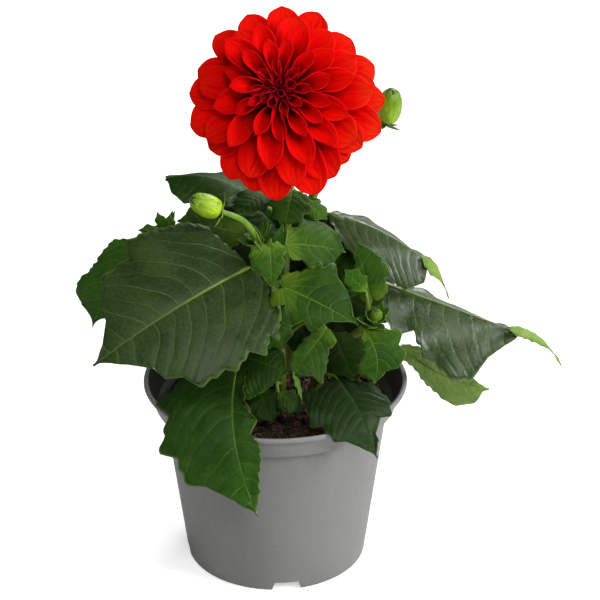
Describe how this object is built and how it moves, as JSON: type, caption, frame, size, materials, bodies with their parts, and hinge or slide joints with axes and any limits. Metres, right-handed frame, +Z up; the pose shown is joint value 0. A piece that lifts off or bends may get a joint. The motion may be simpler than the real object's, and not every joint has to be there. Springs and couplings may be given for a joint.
{
  "type": "potted dwarf dahlia",
  "caption": "Bushy dwarf dahlia with a double red bloom, green buds and broad toothed leaves, growing in a round plastic grower's pot filled with soil.",
  "frame": {"origin": "centre of the flat pad in the middle of the pot's underside, on the surface that the pot stands on", "axes": "+Z up along the pot's axis; -Y towards the front, where the bloom faces; +X to the right as seen from the front"},
  "size_m": [0.218, 0.1665, 0.2593],
  "materials": {
    "pot_plastic": "satin",
    "soil": "matte",
    "stem_green": "satin",
    "leaf_green": "satin",
    "petal_red": "satin",
    "bud_green": "satin"
  },
  "bodies": {
    "root": {"bloom_calyx": "stem_green", "bloom_petals": "petal_red", "bud_back": "bud_green", "bud_left": "bud_green", "bud_right": "bud_green", "leaf_back": "leaf_green", "leaf_back_high": "leaf_green", "leaf_back_left": "leaf_green", "leaf_back_right": "leaf_green", "leaf_far_left": "leaf_green", "leaf_front_left": "leaf_green", "leaf_front_right": "leaf_green", "leaf_inner_front": "leaf_green", "leaf_inner_left": "leaf_green", "leaf_inner_right": "leaf_green", "leaf_low_front": "leaf_green", "leaf_right": "leaf_green", "leaf_right_low": "leaf_green", "leaf_upper_left": "leaf_green", "leaf_upper_right": "leaf_green", "leafy_stem_back": "stem_green", "leafy_stem_far_left": "stem_green", "leafy_stem_front": "stem_green", "leafy_stem_left": "stem_green", "leafy_stem_main": "stem_green", "leafy_stem_right": "stem_green", "pot": "pot_plastic", "soil": "soil"}
  },
  "joints": []
}
